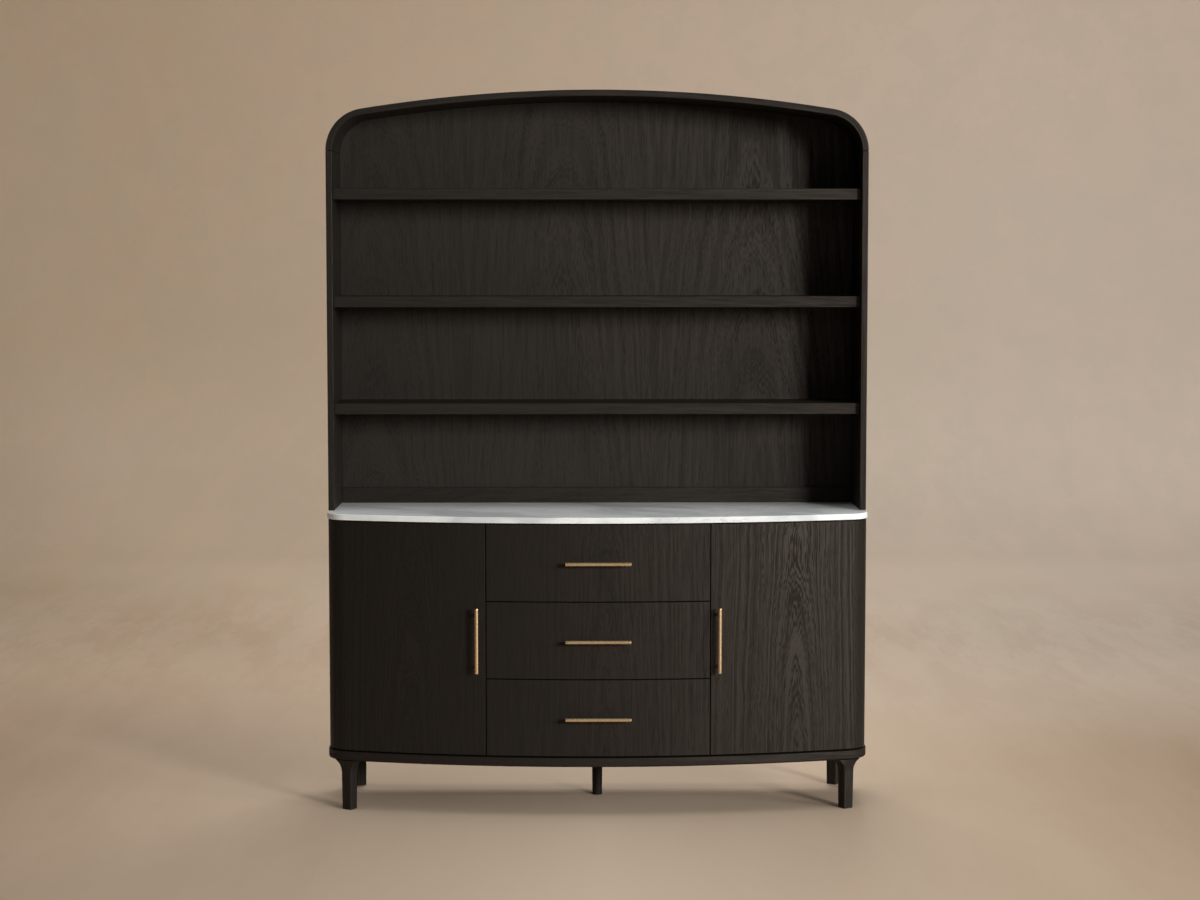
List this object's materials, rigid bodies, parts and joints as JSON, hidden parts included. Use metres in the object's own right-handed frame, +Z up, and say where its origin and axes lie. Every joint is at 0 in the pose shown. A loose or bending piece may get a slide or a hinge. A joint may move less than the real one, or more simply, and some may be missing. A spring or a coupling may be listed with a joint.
{
  "type": "hutch cabinet",
  "caption": "Bow-front hutch cabinet: an arched open-shelf hutch on a stone-topped base with curved doors, drawers and short legs.",
  "frame": {"origin": "middle of the whole cabinet's footprint, pulls included, on the floor", "axes": "+Z up, +X to the right seen from the front, the front faces -Y"},
  "size_m": [1.676, 0.5362, 2.221],
  "materials": {
    "dark_oak": "dark stained oak, open grain, satin",
    "carcass_oak": "dark stained oak, satin",
    "white_marble": "honed white marble with soft grey veins",
    "brushed_brass": "brushed, lacquered",
    "zinc_steel": "zinc plated"
  },
  "bodies": {
    "cabinet": {"marble_top": "white_marble", "sub_top": "carcass_oak", "base_floor": "carcass_oak", "base_side_left": "dark_oak", "base_side_right": "dark_oak", "base_back": "carcass_oak", "partition_left": "carcass_oak", "partition_right": "carcass_oak", "base_rail_front": "dark_oak", "base_rail_back": "dark_oak", "base_rail_middle": "carcass_oak", "leg_front_left": "dark_oak", "leg_front_right": "dark_oak", "leg_rear_left": "dark_oak", "leg_rear_right": "dark_oak", "leg_centre": "dark_oak", "inner_shelf_left": "carcass_oak", "inner_shelf_right": "carcass_oak", "shelf_cleat_outer_left": "carcass_oak", "shelf_cleat_inner_left": "carcass_oak", "shelf_cleat_outer_right": "carcass_oak", "shelf_cleat_inner_right": "carcass_oak", "hinge_top_left": "zinc_steel", "hinge_bottom_left": "zinc_steel", "hinge_top_right": "zinc_steel", "hinge_bottom_right": "zinc_steel", "slide_fixed_bottom_left": "zinc_steel", "slide_fixed_bottom_right": "zinc_steel", "slide_fixed_middle_left": "zinc_steel", "slide_fixed_middle_right": "zinc_steel", "slide_fixed_top_left": "zinc_steel", "slide_fixed_top_right": "zinc_steel", "hutch_side_left": "dark_oak", "hutch_side_right": "dark_oak", "hutch_arch": "dark_oak", "hutch_back": "dark_oak", "hutch_back_rail": "dark_oak", "hutch_shelf_lower": "dark_oak", "hutch_shelf_middle": "dark_oak", "hutch_shelf_upper": "dark_oak"},
    "left_door": {"door_left": "dark_oak", "door_pull_left": "brushed_brass"},
    "right_door": {"door_right": "dark_oak", "door_pull_right": "brushed_brass"},
    "bottom_drawer": {"drawer_front_bottom": "dark_oak", "drawer_box_bottom": "carcass_oak", "drawer_pull_bottom": "brushed_brass", "slide_moving_bottom_left": "zinc_steel", "slide_moving_bottom_right": "zinc_steel"},
    "middle_drawer": {"drawer_front_middle": "dark_oak", "drawer_box_middle": "carcass_oak", "drawer_pull_middle": "brushed_brass", "slide_moving_middle_left": "zinc_steel", "slide_moving_middle_right": "zinc_steel"},
    "top_drawer": {"drawer_front_top": "dark_oak", "drawer_box_top": "carcass_oak", "drawer_pull_top": "brushed_brass", "slide_moving_top_left": "zinc_steel", "slide_moving_top_right": "zinc_steel"}
  },
  "joints": [
    {"name": "door_left_hinge", "type": "hinge", "parent": "cabinet", "child": "left_door", "pos_m": [-0.8275, -0.0358, 0.188], "axis": [0, 0, -1], "range_deg": [0, 100]},
    {"name": "door_right_hinge", "type": "hinge", "parent": "cabinet", "child": "right_door", "pos_m": [0.8275, -0.0358, 0.188], "axis": [0, 0, 1], "range_deg": [0, 100]},
    {"name": "drawer_bottom_slide", "type": "slide", "parent": "cabinet", "child": "bottom_drawer", "axis": [0, -1, 0], "range_m": [0, 0.33]},
    {"name": "drawer_middle_slide", "type": "slide", "parent": "cabinet", "child": "middle_drawer", "axis": [0, -1, 0], "range_m": [0, 0.33]},
    {"name": "drawer_top_slide", "type": "slide", "parent": "cabinet", "child": "top_drawer", "axis": [0, -1, 0], "range_m": [0, 0.33]}
  ]
}
